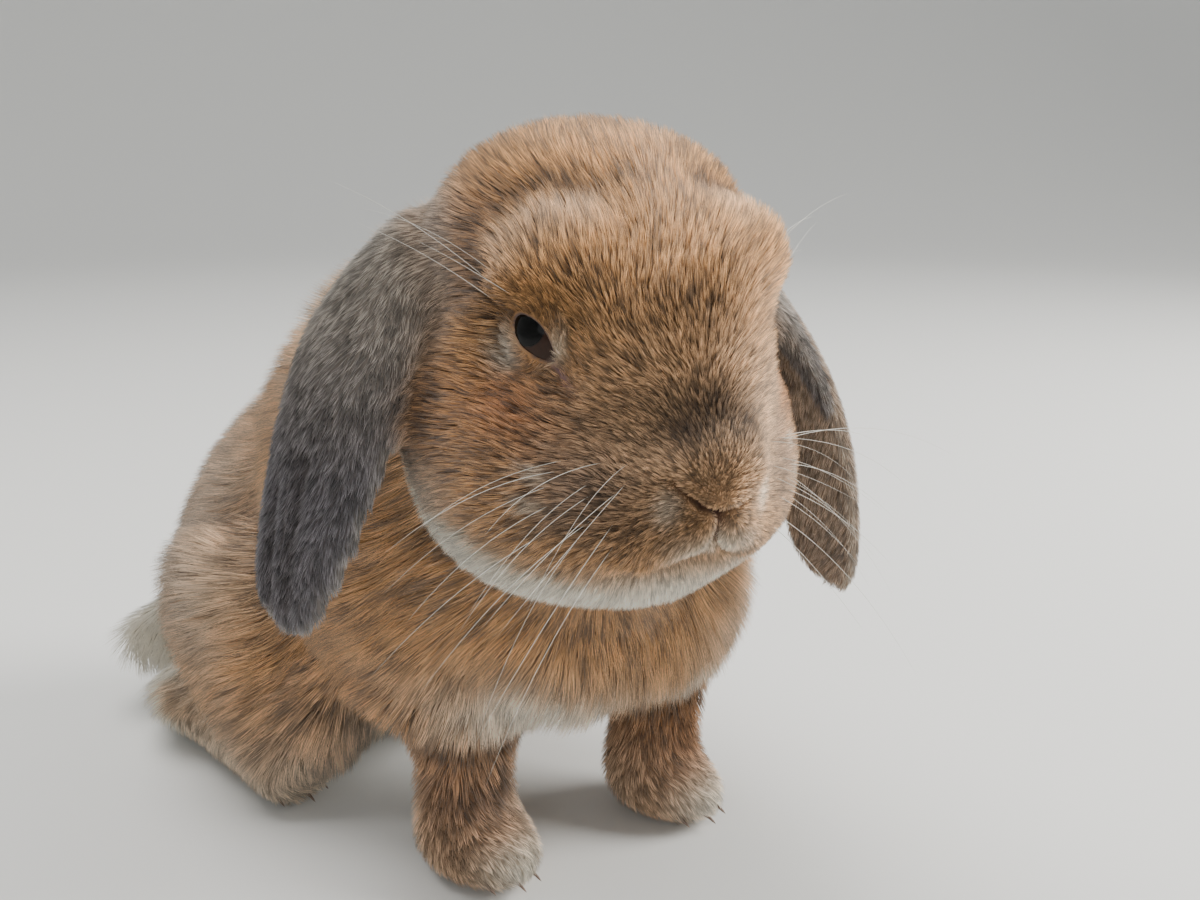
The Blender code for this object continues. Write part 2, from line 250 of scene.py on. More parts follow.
flesh = sorted(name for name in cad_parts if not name.startswith("eye"))
hide = bmesh.new()
wall_points = []
wall_faces = []
wall_regions = []
flaps = []
for node in flesh:
    piece = welded(node, SEAM_CLOSE)
    piece_mesh = bpy.data.meshes.new(node + "_walls")
    piece.to_mesh(piece_mesh)
    piece.free()
    start = len(wall_points)
    hide.from_mesh(piece_mesh)
    if node.startswith("ear"):
        flap = welded(node, -EAR_DEPTH * MM)
        flap_mesh = bpy.data.meshes.new(node + "_flap")
        flap.to_mesh(flap_mesh)
        flap.free()
        flaps.append(flap_mesh)
    wall_points.extend(vert.co.copy() for vert in piece_mesh.vertices)
    wall_faces.extend([start + index for index in face.vertices] for face in piece_mesh.polygons)
    wall_regions.extend([REGIONS.index(node.split("_")[0])] * len(piece_mesh.polygons))
for side in (-1, 1):
    aside, back, up = PLUG_OFFSET
    plug = HEAD_CENTRE + HEAD_TURN @ (EYE_PLACE + (side * aside, back, up)) * MM
    place = Matrix.Translation(plug)
    bmesh.ops.create_icosphere(hide, subdivisions=3, radius=PLUG_RADIUS * MM, matrix=place)
skin = bpy.data.objects.new("skin", bpy.data.meshes.new("skin"))
hide.to_mesh(skin.data)
hide.free()
bpy.context.scene.collection.objects.link(skin)
walls = BVHTree.FromPolygons(wall_points, wall_faces)
wall_regions = np.array(wall_regions)


def region_shares(points, ends, rounds):
    """How much each vertex belongs to each region of the coat, blended over the joins."""
    nearest = np.array([walls.find_nearest(point)[2] for point in points.tolist()])
    shares = np.zeros((len(points), len(REGIONS)))
    shares[np.arange(len(points)), wall_regions[nearest]] = 1.0
    return spread(shares, ends, rounds)


def from_nose(places, values):
    """Figures that change with the distance from the nose, for places in the skull's frame."""
    return np.interp(np.linalg.norm(places - NOSE_TIP, axis=1), FACE_REACH, values)


def by_region(shares, table, face_values, points):
    """One figure for each vertex: from the table, or by distance from the nose on the head."""
    head = from_nose(in_head(points), face_values)
    total = shares[:, 0] * head
    for index, region in enumerate(REGIONS[1:], 1):
        total = total + shares[:, index] * table[region]
    return total


def skin_points():
    return columns(skin.data.vertices, "co", 3).astype(float)


def skin_ends():
    return columns(skin.data.edges, "vertices", 2, np.int32)


def skin_normals():
    return columns(skin.data.vertex_normals, "vector", 3).astype(float)


def move_skin(points):
    skin.data.vertices.foreach_set("co", points.astype(np.float32).ravel())
    skin.data.update()


remeshed(skin, FIRST_VOXEL)
points = skin_points()
ends = skin_ends()
normals = unit(spread(skin_normals(), ends, 4))
shares = region_shares(points, ends, 12)
sink = by_region(shares, COAT_DEPTH, FACE_DEPTH, points) * MM + SEAM_CLOSE
for _ in range(SINK_STEPS):
    points = points - normals * (sink / SINK_STEPS)[:, None]
    points = spread(points, ends, 1, 0.7)
move_skin(points)
hide = bmesh.new()
hide.from_mesh(skin.data)
for flap_mesh in flaps:
    hide.from_mesh(flap_mesh)
hide.to_mesh(skin.data)
hide.free()
skin.data.update()
remeshed(skin, SKIN_VOXEL)

FACE_ZONES = (
    ((-29.0, -21.0, 13.0), 16.0),
    ((29.0, -21.0, 13.0), 16.0),
    ((0.0, -54.0, -14.0), 19.0),
)
bm = bmesh.new()
bm.from_mesh(skin.data)
bm.verts.ensure_lookup_table()
unseen = set(bm.verts)
while unseen:
    stack = [unseen.pop()]
    shell = list(stack)
    while stack:
        for edge in stack.pop().link_edges:
            for vert in edge.verts:
                if vert in unseen:
                    unseen.remove(vert)
                    stack.append(vert)
                    shell.append(vert)
    if len(shell) < SMALLEST_SHELL:
        bmesh.ops.delete(bm, geom=shell, context="VERTS")
points = in_head(np.array([vert.co for vert in bm.verts]))
near = np.zeros(len(points), bool)
for zone_middle, zone_radius in FACE_ZONES:
    near |= np.linalg.norm(points - zone_middle, axis=1) < zone_radius
near = dict(zip(bm.verts, near))
fine = [edge for edge in bm.edges if near[edge.verts[0]] and near[edge.verts[1]]]
bmesh.ops.subdivide_edges(bm, edges=fine, cuts=3, use_grid_fill=True)
bmesh.ops.triangulate(bm, faces=bm.faces)
bm.to_mesh(skin.data)
bm.free()
ends = skin_ends()
points = spread(skin_points(), ends, 2, 0.3)

EYE_AXIS = unit(np.array([(1.0, -0.25, 0.05)]))[0]
LID_MIDDLE = (2.3, 0.5)
LID_SLANT = math.radians(-27.0)
LID_HALF_LENGTH = 6.7
LID_RISE = 4.5
LID_FALL = 1.7
LID_LIP = 0.7
LID_TUCK = 0.9
LID_RINGS = (0.0, 0.84, 0.98, 1.08, 1.22, 1.6)
LID_HEIGHTS = (-LID_TUCK, -LID_TUCK, 0.0, LID_LIP * 0.8, LID_LIP, 0.8)
LID_BROW = 1.5
LID_SMOOTHING = 60


def eye_view(places, side):
    """Distance from one eye's middle, and how far forward and up round the globe."""
    offset = (places - EYE_PLACE) * (side, 1.0, 1.0) - (EYE_ASIDE, 0.0, 0.0)
    reach = np.linalg.norm(offset, axis=1)
    way = offset / np.maximum(reach, 1e-9)[:, None]
    facing = way @ EYE_AXIS
    up = np.array((0.0, 0.0, 1.0)) - EYE_AXIS * EYE_AXIS[2]
    up = up / np.linalg.norm(up)
    forward = np.cross(EYE_AXIS, up)
    forward = forward * -np.sign(forward[1])
    turn = np.arccos(np.clip(facing, -1.0, 1.0))
    scale = EYE_RADIUS * turn / np.maximum(np.sin(turn), 1e-6)
    return reach, way, scale * (way @ forward), scale * (way @ up)


def lid_ring(forward, up):
    """0 at the middle of the eye's opening and 1 at the lids' edge, with the height across it."""
    forward = forward - LID_MIDDLE[0]
    up = up - LID_MIDDLE[1]
    along = forward * math.cos(LID_SLANT) + up * math.sin(LID_SLANT)
    across = up * math.cos(LID_SLANT) - forward * math.sin(LID_SLANT)
    fall = LID_FALL + 0.45 * np.maximum(np.abs(across) - LID_FALL, 0.0)
    across = across / np.where(across > 0.0, LID_RISE, fall)
    along = along / LID_HALF_LENGTH
    ring = np.hypot(along, across * (1.0 + 0.25 * np.minimum(along * along, 1.5)))
    return ring, across


def line_distance(places, line):
    """How far each place is from a line of points."""
    best = np.full(len(places), 1e9)
    for start, end in zip(line, line[1:]):
        start = np.array(start)
        step = np.array(end) - start
        t = np.clip((places - start) @ step / max(step @ step, 1e-9), 0.0, 1.0)
        best = np.minimum(best, np.linalg.norm(places - start - t[:, None] * step, axis=1))
    return best


def laid(line, places):
    """The line's points, a few millimetres apart, drawn onto the nearest places on the skin."""
    dense = []
    for start, end in zip(line, line[1:]):
        start = np.array(start)
        step = np.array(end) - start
        pieces = max(int(np.linalg.norm(step) / 1.5), 1)
        dense += [start + step * (part / pieces) for part in range(pieces)]
    dense.append(np.array(line[-1]))
    return [places[np.argmin(((places - point) ** 2).sum(axis=1))] for point in dense]


# Lines drawn on the right half of the face, in the skull's own frame.
NOSTRIL = ((0.0, -58.8, -10.2), (-4.9, -58.1, -8.2), (-8.0, -56.7, -6.3), (-10.9, -54.8, -3.8))
NOSTRIL_RIM = ((0.0, -59.0, -7.8), (-4.9, -58.1, -5.8), (-9.4, -55.5, -2.8))
CLEFT = ((0.0, -58.8, -10.2), (0.3, -57.8, -15.4), (0.3, -56.5, -20.5))
MOUTH = ((0.3, -57.0, -18.5), (-3.5, -55.5, -22.5), (-8.5, -52.5, -26.5), (-15.0, -47.5, -29.5))
LIP = ((-5.5, -57.0, -17.5), (-13.0, -52.5, -23.0))
CHIN = ((0.0, -49.0, -31.5), (-6.0, -46.0, -32.5))
NOSE_CREASE = ((-16.2, -47.5, 3.2), (-9.3, -49.8, 8.2), (0.0, -50.9, 9.5))
NOSE_BULB = ((-7.0, -54.5, 0.5), (0.0, -56.5, 0.0))
PAD_CREASE = (
    (-32.5, -41.5, -18.0), (-28.5, -40.9, -8.0), (-21.0, -44.5, 1.0), (-16.2, -47.5, 3.2),
)
TEMPLE = (
    (-13.6, -12.2, 42.7), (-20.0, -6.6, 42.4), (-27.6, -4.4, 39.6), (-33.9, -2.0, 35.2),
    (-37.5, -2.8, 30.2), (-39.4, -4.9, 23.5), (-39.6, -6.0, 16.2),
)
TEMPLE_LOBE = ((-17.0, -18.0, 38.5), (-26.0, -14.0, 35.0), (-33.0, -12.5, 28.0))
places = in_head(points)
for side in (-1, 1):
    reach, way, forward, up = eye_view(places, side)
    ring, across = lid_ring(forward, up)
    loose = (reach < 15.5) & (ring < 2.6)
    inner_ends = ends[loose[ends[:, 0]] | loose[ends[:, 1]]]
    for _ in range(LID_SMOOTHING):
        relaxed = spread(points, inner_ends, 1)
        points[loose] = relaxed[loose]
    places = in_head(points)
    reach, way, forward, up = eye_view(places, side)
    ring, across = lid_ring(forward, up)
    edge = np.interp(ring, LID_RINGS, LID_HEIGHTS)
    brow = LID_BROW * np.exp(-((ring - 1.6) / 0.40) ** 2) * smoothstep(0.2, 1.1, across)
    target = EYE_RADIUS + edge + brow
    hold = (1.0 - smoothstep(1.7, 3.0, ring)) * smoothstep(17.5, 13.0, reach)
    moved = reach + (target - reach) * hold
    target_places = way * moved[:, None] * (side, 1.0, 1.0) + EYE_PLACE
    target_places = target_places + (EYE_ASIDE * side, 0.0, 0.0)
    target_points = HEAD_CENTRE + out_of_head(target_places) * MM
    change = hold > 0
    points[change] = target_points[change]

EAR_FOLDS = (
    (
        (-0.0765, -0.0385, 0.138), (-0.0785, -0.0385, 0.126),
        (-0.0805, -0.037, 0.109), (-0.0805, -0.036, 0.102),
    ),
    (
        (-0.0765, -0.0505, 0.146), (-0.078, -0.0495, 0.139),
        (-0.080, -0.0475, 0.127), (-0.0815, -0.0445, 0.109),
    ),
)
EAR_FOLD_SPREAD = 2.6
EAR_FOLD_DEPTH = 2.4
ear_fold = np.zeros(len(points))
for line in EAR_FOLDS:
    gap = line_distance(points, line) / (EAR_FOLD_SPREAD * MM)
    ear_fold = np.maximum(ear_fold, np.exp(-gap ** 2))


def onto_right(places, left_half):
    """The places, with the left half of the head turned over onto the right."""
    return np.where(left_half[:, None], places * (-1.0, 1.0, 1.0), places)


places = in_head(points)
left_half = places[:, 0] > 0
folded = onto_right(places, left_half)


def ridge(line, spread_by):
    """1 along a line drawn on the right half of the face, falling away to either side."""
    return np.exp(-(line_distance(folded, laid(line, folded)) / spread_by) ** 2)


shape = 2.2 * ridge(NOSE_BULB, 5.0) - 2.8 * ridge(NOSE_CREASE, 2.6)
shape += 3.2 * ridge(LIP, 5.5) + 1.8 * ridge(CHIN, 5.0) - 1.4 * ridge(PAD_CREASE, 2.6)
shape += 1.3 * ridge(TEMPLE_LOBE, 7.5) - 4.4 * ridge(TEMPLE, 3.6)
shape = spread(shape[:, None], ends, 12)[:, 0] - EAR_FOLD_DEPTH * ear_fold
move_skin(points)
normals = unit(spread(skin_normals(), ends, 24))
points = points + normals * shape[:, None] * MM
folded = onto_right(in_head(points), left_half)
nostril = ridge(NOSTRIL, 0.85)
rim = ridge(NOSTRIL_RIM, 1.6)
cleft = ridge(CLEFT, 1.3)
mouth = ridge(MOUTH, 1.1)
move_skin(points)
push = 0.8 * rim - 2.6 * nostril - 2.8 * cleft - 2.6 * mouth
points = points + skin_normals() * push[:, None] * MM
move_skin(points)
skin.data.shade_smooth()
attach(skin, "root")
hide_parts(*flesh)

# ------------------------------------------------------------------ markings
# The coat's colours: fawn over all, with rufous cheeks and forelegs, slate
# ears, cream below and a dark smut above the nose, with painted shade darkening
# the temple grooves and ear folds. Skin and fur share them.
HEAD_PATCHES = {
    "rufous": (
        ((-33.0, -25.0, -1.0), (10.0, 13.0, 8.5), 0.9),
        ((-40.0, -8.0, -8.0), (12.0, 16.0, 16.0), 0.35),
        ((-36.0, 4.0, 24.0), (12.0, 14.0, 12.0), 0.35),
    ),
    "slate": (
        ((-28.0, -44.0, -10.0), (13.0, 12.0, 12.0), 0.45),
        ((-44.0, -2.0, -30.0), (16.0, 20.0, 12.0), 0.35),
    ),
    "cream": (
        ((0.0, -44.0, -37.0), (22.0, 20.0, 8.5), 1.0),
        ((-30.0, -30.0, -40.0), (20.0, 22.0, 9.0), 0.95),
        ((0.0, -46.0, 0.0), (30.0, 20.0, 24.0), 0.22),
        ((-29.4, -15.6, 8.4), (4.0, 3.6, 4.8), 1.0),
        ((-46.0, -6.0, -26.0), (8.0, 16.0, 7.0), 0.5),
        ((0.0, -57.0, -19.0), (9.0, 6.0, 5.5), 0.85),
        ((-11.0, -55.5, -9.0), (3.0, 4.0, 4.5), 0.6),
        ((-25.0, -25.5, 13.0), (2.6, 3.0, 4.6), 0.6),
    ),
    "dark": (
        ((-8.0, -52.0, 6.5), (7.5, 6.0, 4.6), 1.0),
        ((0.0, -52.0, 9.5), (14.0, 7.0, 4.6), 1.0),
        ((-22.0, -47.0, -8.0), (9.0, 8.0, 8.0), 0.30),
        ((0.0, -42.0, 20.0), (16.0, 12.0, 16.0), 0.14),
        ((-30.0, -30.0, 3.0), (5.0, 5.0, 3.0), 0.25),
    ),
}
BODY_PATCHES = {
    "rufous": (
        ((-0.020, -0.045, 0.030), (0.020, 0.030, 0.014), 0.5),
        ((0.045, -0.075, 0.028), (0.024, 0.030, 0.014), 0.5),
    ),
    "slate": (
        ((-0.030, 0.100, 0.080), (0.035, 0.035, 0.035), 0.5),
        ((0.060, 0.100, 0.080), (0.035, 0.035, 0.035), 0.5),
    ),
    "cream": (
        ((-0.010, -0.066, 0.064), (0.030, 0.028, 0.014), 1.0),
        ((0.036, -0.086, 0.060), (0.028, 0.032, 0.011), 0.7),
        ((0.040, -0.095, 0.080), (0.025, 0.030, 0.030), 0.18),
        ((-0.014, -0.064, 0.008), (0.020, 0.017, 0.012), 0.85),
        ((0.049, -0.088, 0.008), (0.020, 0.017, 0.012), 0.8),
        ((0.015, 0.030, 0.020), (0.040, 0.075, 0.028), 0.9),
        ((-0.025, 0.055, 0.070), (0.020, 0.022, 0.024), 0.35),
        ((-0.030, 0.075, 0.100), (0.050, 0.050, 0.040), 0.30),
        ((-0.010, -0.030, 0.185), (0.060, 0.035, 0.040), 0.40),
    ),
    "dark": (
        ((-0.020, -0.045, 0.045), (0.030, 0.030, 0.0040), 0.65),
        ((-0.020, -0.045, 0.030), (0.030, 0.030, 0.0035), 0.6),
        ((0.045, -0.075, 0.041), (0.030, 0.030, 0.0040), 0.65),
    ),
}
REGION_MARKS = {
    "tail": (0.0, 0.0, 1.0, 0.0), "ear": (0.0, 1.0, 0.0, 0.0), "forepaw": (0.45, 0.0, 0.20, 0.0),
    "hindfoot": (0.1, 0.1, 0.45, 0.0), "foreleg": (0.25, 0.0, 0.0, 0.0),
}
JAW_EDGE = (
    (-52.0, -37.0), (-45.3, -34.7), (-42.3, -32.2), (-35.9, -29.7),
    (-27.0, -27.5), (-11.0, -29.1), (10.0, -31.0),
)
THROAT_EDGE = (-54.0, -48.0)
CHEEK_DASHES = ((-30.5, -38.0, -6.5), (-34.0, -37.0, -11.0), (-34.0, -40.5, -16.0))
MARKS = ("rufous", "slate", "cream", "dark")
LEFT_EAR_SIDE = 0.030
DUCT_PLACE = (9.2, -3.9)
DUCT_RADII = (1.5, 0.9)
EYE_SURROUND = 20.0


def blots(places, patches):
    """The strongest of several soft patches at each place."""
    total = np.zeros(len(places))
    for center, radii, strength in patches:
        offset = (places - center) / radii
        total = np.maximum(total, strength * np.exp(-(offset ** 2).sum(axis=1)))
    return total


def add_colors(mesh, name, values):
    layer = mesh.attributes.new(name, "FLOAT_COLOR", "POINT")
    layer.data.foreach_set("color", np.ascontiguousarray(values, np.float32).ravel())


points = skin_points()
normals = unit(skin_normals())
soft_normals = unit(spread(normals, ends, 6))
shares = region_shares(points, ends, 14)
share = {region: shares[:, index] for index, region in enumerate(REGIONS)}
places = in_head(points)
folded = onto_right(places, places[:, 0] > 0)
markings = np.zeros((len(points), 4))
for column, mark in enumerate(MARKS):
    on_head = blots(folded, HEAD_PATCHES[mark])
    on_body = blots(points, BODY_PATCHES[mark])
    whole = share["head"] * on_head + (1.0 - share["head"] - share["ear"]) * on_body
    for region, marks in REGION_MARKS.items():
        whole = whole + share[region] * marks[column]
    markings[:, column] = whole
jaw_edge = np.interp(places[:, 1], *zip(*JAW_EDGE))
tufted = 1.4 * np.sin(0.55 * places[:, 0]) * np.sin(0.45 * places[:, 1])
under_jaw = smoothstep(1.5, -2.5, places[:, 2] - jaw_edge + tufted)
under_jaw = under_jaw * smoothstep(*THROAT_EDGE, places[:, 2])
under_jaw = under_jaw * share["head"]
broken = smoothstep(-0.4, 0.4, np.sin(places[:, 2] * 1.1))
dashes = share["head"] * ridge(CHEEK_DASHES, 3.0) * broken
ear_top = smoothstep(0.135, 0.195, points[:, 2])
ear_rim = smoothstep(0.25, 0.6, 1.0 - np.linalg.norm(spread(normals, ends, 8), axis=1))
left_ear = points[:, 0] > LEFT_EAR_SIDE
# Painted shade: the ears are darkened along their fold creases.
markings[:, 3] += 0.35 * share["ear"] * ear_fold
markings[:, 1] += share["ear"] * np.where(left_ear, -0.50, -0.12 * ear_top)
markings[:, 2] += share["ear"] * (np.where(left_ear, 0.18, 0.42 * ear_top) + 0.35 * ear_rim)
markings[:, 2] = np.maximum(markings[:, 2], np.maximum(under_jaw, 0.5 * dashes))
markings[:, 2] = np.maximum(markings[:, 2], smoothstep(0.06, 0.25, share["tail"]))
# Painted shade: a dark mark along the temple groove darkens the crease behind the brow lobe.
markings[:, 3] = np.maximum(markings[:, 3], 0.65 * share["head"] * ridge(TEMPLE, 3.2))
markings[:, 2] = np.maximum(markings[:, 2], 0.12 * share["head"] * ridge(TEMPLE_LOBE, 5.5))
markings = np.clip(markings, 0.0, 1.0)
add_colors(skin.data, "markings", markings)
bare = np.zeros((len(points), 4))
lid_rings = []
for side in (-1, 1):
    reach, way, forward, up = eye_view(places, side)
    around = reach < EYE_SURROUND
    ring = np.where(around, lid_ring(forward, up)[0], 9.0)
    lid_rings.append(ring)
    bare[:, 0] = np.maximum(bare[:, 0], 1.0 - smoothstep(1.0, 1.07, ring))
    ahead = (forward - DUCT_PLACE[0]) / DUCT_RADII[0]
    above = (up - DUCT_PLACE[1]) / DUCT_RADII[1]
    bare[:, 1] = np.maximum(bare[:, 1], np.exp(-ahead ** 2 - above ** 2) * around)
# Painted shade: the nostril, cleft and mouth slits are darkened where they sink in.
bare[:, 2] = np.clip(nostril + cleft + 0.8 * mouth, 0.0, 1.0)
add_colors(skin.data, "bare", bare)
lid_ring_min = np.minimum(*lid_rings)

bpy.context.view_layer.objects.active = skin
skin.select_set(True)
bpy.ops.object.mode_set(mode="EDIT")
bpy.ops.mesh.select_all(action="SELECT")
bpy.ops.uv.smart_project(angle_limit=math.radians(66.0), island_margin=0.002)
bpy.ops.object.mode_set(mode="OBJECT")
skin.data.uv_layers[0].name = "OFBake"

FAWN = (0.52, 0.275, 0.105, 1.0)
RUFOUS = (0.36, 0.135, 0.035, 1.0)
SLATE = (0.150, 0.138, 0.152, 1.0)
CREAM = (0.82, 0.76, 0.64, 1.0)
# Dark brown of the smut and ticked tips, also used as painted shade in the temple grooves and ear
# folds.
SMUT_AND_SHADE = (0.042, 0.023, 0.014, 1.0)
UNDERFUR_DARK = (0.3, 0.28, 0.27, 1.0)
UNDERFUR_PALE = (0.8, 0.75, 0.7, 1.0)
DUCT_PINK = (0.17, 0.10, 0.105, 1.0)
LID_DARK = (0.075, 0.045, 0.042, 1.0)
SLIT_SHADE = (0.055, 0.022, 0.018, 1.0)


def fed(links, sockets, values):
    """Gives each input a value, which is another node's socket or a plain one."""
    for socket, value in zip(sockets, values):
        if hasattr(value, "is_linked"):
            links.new(value, socket)
        else:
            socket.default_value = value


def mixed(nodes, links, factor, first, second, kind="MIX"):
    mix = nodes.new("ShaderNodeMix")
    mix.data_type = "RGBA"
    mix.blend_type = kind
    fed(links, (mix.inputs[0], mix.inputs[6], mix.inputs[7]), (factor, first, second))
    return mix.outputs[2]


def worked(nodes, links, operation, *values):
    node = nodes.new("ShaderNodeMath")
    node.operation = operation
    fed(links, node.inputs, values)
    return node.outputs[0]


def attribute_parts(nodes, links, name):
    """A colour attribute's three channels and its fourth."""
    source = nodes.new("ShaderNodeAttribute")
    source.attribute_name = name
    split = nodes.new("ShaderNodeSeparateColor")
    links.new(source.outputs["Color"], split.inputs["Color"])
    return (*split.outputs[:3], source.outputs["Alpha"])


def noise(nodes, links, scale, detail=3.0, stretch=(1.0, 1.0, 1.0)):
    place = nodes.new("ShaderNodeTexCoord")
    mapping = nodes.new("ShaderNodeMapping")
    mapping.inputs["Scale"].default_value = stretch
    links.new(place.outputs["Object"], mapping.inputs["Vector"])
    node = nodes.new("ShaderNodeTexNoise")
    node.inputs["Scale"].default_value = scale
    node.inputs["Detail"].default_value = detail
    links.new(mapping.outputs["Vector"], node.inputs["Vector"])
    return node.outputs["Fac"]


def marked_color(nodes, links):
    """The coat's colour from the markings and painted crease shade, before the shade of single
    hairs.
    """
    rufous, slate, cream, dark = attribute_parts(nodes, links, "markings")
    color = mixed(nodes, links, rufous, FAWN, RUFOUS)
    color = mixed(nodes, links, slate, color, SLATE)
    color = mixed(nodes, links, cream, color, CREAM)
    return mixed(nodes, links, dark, color, SMUT_AND_SHADE)


def skin_material():
    material, nodes, links, shader = new_material("hide_and_underfur")
    color = marked_color(nodes, links)
    shade = noise(nodes, links, 260.0, 4.0, (1.0, 1.0, 0.35))
    underfur = mixed(nodes, links, shade, UNDERFUR_DARK, UNDERFUR_PALE)
    color = mixed(nodes, links, 1.0, color, underfur, "MULTIPLY")
    lid, duct, slit_shade, _ = attribute_parts(nodes, links, "bare")
    color = mixed(nodes, links, duct, color, DUCT_PINK)
    color = mixed(nodes, links, lid, color, LID_DARK)
    # Painted shade darkens the nostril, cleft and mouth slits.
    color = mixed(nodes, links, slit_shade, color, SLIT_SHADE)
    links.new(color, shader.inputs["Base Color"])
    wet = worked(nodes, links, "MULTIPLY_ADD", lid, -0.35, 0.85)
    links.new(wet, shader.inputs["Roughness"])
    bump = nodes.new("ShaderNodeBump")
    bump.inputs["Strength"].default_value = 0.5
    bump.inputs["Distance"].default_value = 0.0004
    links.new(noise(nodes, links, 900.0, 3.0, (1.0, 1.0, 0.3)), bump.inputs["Height"])
    links.new(bump.outputs["Normal"], shader.inputs["Normal"])
    return material


skin.data.materials.clear()
skin.data.materials.append(skin_material())

# ------------------------------------------------------------------ coat
# The fur, in nearly half a million fine tapered locks rooted in the skin. They
# are shortest on the nose, ears and feet, and long and soft on the body.
FACE_LENGTH = (1.3, 2.1, 3.1, 5.2, 7.0, 9.0)
COAT_LENGTH = {
    "neck": 16.0, "trunk": 19.0, "tail": 15.0, "ear": 3.4, "foreleg": 7.5,
    "forepaw": 4.4, "thigh": 16.0, "hindfoot": 5.0,
}
FACE_WIDTH = (0.16, 0.18, 0.22, 0.27, 0.31, 0.36)
COAT_WIDTH = {
    "neck": 0.42, "trunk": 0.46, "tail": 0.45, "ear": 0.28, "foreleg": 0.38,
    "forepaw": 0.33, "thigh": 0.46, "hindfoot": 0.38,
}
LOCK_COUNTS = {"head": 185000, "ear": 52000, "limb": 60000, "body": 178000, "tail": 6000}
CLUMP_SIZE = {"head": 7, "ear": 8, "limb": 7, "body": 14, "tail": 12}
CLUMP_PULL = {
    "head": (0.30, 0.80), "ear": (0.2, 0.5), "limb": (0.3, 0.65),
    "body": (0.15, 0.60), "tail": (0.1, 0.5),
}
FACE_DENSITY = (3.2, 2.8, 2.0, 1.2, 0.9, 0.7)
HEAD_WHORL = np.array((0.0, -63.0, -7.0))
EYE_WHORL = (30.0, -4.5, 1.5)
NAPE_LIE = np.array((0.0, 0.5, -0.8))
CHIN_LIE = np.array((0.0, 0.75, -0.65))
BACK_LIE = np.array((0.0, 1.0, -0.55))
CHEST_LIE = np.array((0.0, 0.05, -1.0))
RUMP_LIE = np.array((0.0, 0.35, -1.0))
LIES = {
    "foreleg": (0.0, 0.12, -1.0), "forepaw": (0.0, -1.0, -0.55), "thigh": (0.0, 0.75, -0.65),
    "hindfoot": (0.0, -1.0, -0.25), "tail": (0.0, -0.2, -1.0), "ear": (0.0, 0.05, -1.0),
    "neck": (0.0, 0.9, -0.55),
}
TIP_CLEAR = 0.3 * MM
rng = np.random.default_rng(20)


def waves(places, size, seed):
    """Smooth wandering values from -1 to 1, about size metres from crest to crest."""
    source = np.random.default_rng(seed)
    total = np.zeros(len(places))
    for _ in range(6):
        way = source.normal(size=3)
        way = way / np.linalg.norm(way) * math.tau / size * source.uniform(0.7, 1.4)
        total += np.sin(places @ way + source.uniform(0.0, math.tau))
    return total / 3.0


def flat_to(vectors, normals):
    return vectors - (vectors * normals).sum(axis=1, keepdims=True) * normals


head_lie = unit(places - HEAD_WHORL)
head_lie = head_lie + 0.55 * smoothstep(25.0, 60.0, places[:, 1] + 45.0)[:, None] * NAPE_LIE
for side in (-1, 1):
    aside, back, up = EYE_WHORL
    away = places - (EYE_PLACE + (aside * side, back, up))
    gap = np.linalg.norm(away, axis=1, keepdims=True)
    head_lie = head_lie + 1.3 * away / np.maximum(gap, 1e-6) * np.exp(-(gap / 10.0) ** 2)
under_chin = smoothstep(-26.0, -40.0, places[:, 2])[:, None]
head_lie = head_lie * (1.0 - under_chin) + under_chin * CHIN_LIE
head_lie = out_of_head(head_lie)
chest = smoothstep(-0.055, -0.085, points[:, 1])[:, None]
body_lie = BACK_LIE * (1.0 - chest) + CHEST_LIE * chest
rump = smoothstep(0.060, 0.120, points[:, 1])[:, None]
body_lie = body_lie * (1.0 - rump) + RUMP_LIE * rump
lie = share["head"][:, None] * unit(head_lie) + share["trunk"][:, None] * unit(body_lie)
for region, way in LIES.items():
    lie = lie + share[region][:, None] * unit(np.array([way]))
lie = flat_to(lie, soft_normals)
lie = flat_to(spread(lie, ends, 12), soft_normals)
lie = unit(lie + 1e-6)
length = by_region(shares, COAT_LENGTH, FACE_LENGTH, points)
width = by_region(shares, COAT_WIDTH, FACE_WIDTH, points)
depth = by_region(shares, COAT_DEPTH, FACE_DEPTH, points)
by_eye = 1.0 - smoothstep(1.3, 2.4, lid_ring_min)
length = length * (1.0 - 0.62 * by_eye)
depth = depth * (1.0 - 0.72 * by_eye)
width = width * (1.0 - 0.35 * by_eye)
length = length * (1.0 + 0.45 * under_jaw + 0.25 * share["neck"])
depth = depth * (1.0 + 1.0 * share["neck"] + 0.3 * share["tail"])
kept = 1.0 - np.clip(bare[:, 0] * 1.6 + bare[:, 1] * 0.9 + bare[:, 2] * 1.5, 0.0, 1.0)
length = length * (1.0 - 0.5 * np.clip(bare[:, 2] * 2.0, 0.0, 1.0))

skin.data.calc_loop_triangles()
corner_verts = columns(skin.data.loop_triangles, "vertices", 3, np.int32)
corner_loops = columns(skin.data.loop_triangles, "loops", 3, np.int32)
skin_map = columns(skin.data.uv_layers["OFBake"].uv, "vector", 2)
apex, second, third = (points[corner_verts[:, corner]] for corner in range(3))
areas = np.linalg.norm(np.cross(second - apex, third - apex), axis=1) / 2


def rooted(weights, count):
    """Where locks are rooted: a triangle and a place in it for each, spread evenly by weight."""
    total = np.cumsum(areas * np.maximum(weights[corner_verts].mean(axis=1), 0.0))
    marks = (np.arange(count) + rng.uniform(size=count)) / count * total[-1]
    faces = np.minimum(np.searchsorted(total, marks), len(total) - 1)
    first = np.sqrt(rng.uniform(size=count))
    second = rng.uniform(size=count)
    return faces, np.stack((1.0 - first, first * (1.0 - second), first * second), axis=1)


def at_roots(values, faces, corners):
    values = values.reshape(len(values), -1)
    return np.einsum("ijk,ij->ik", values[corner_verts[faces]], corners)


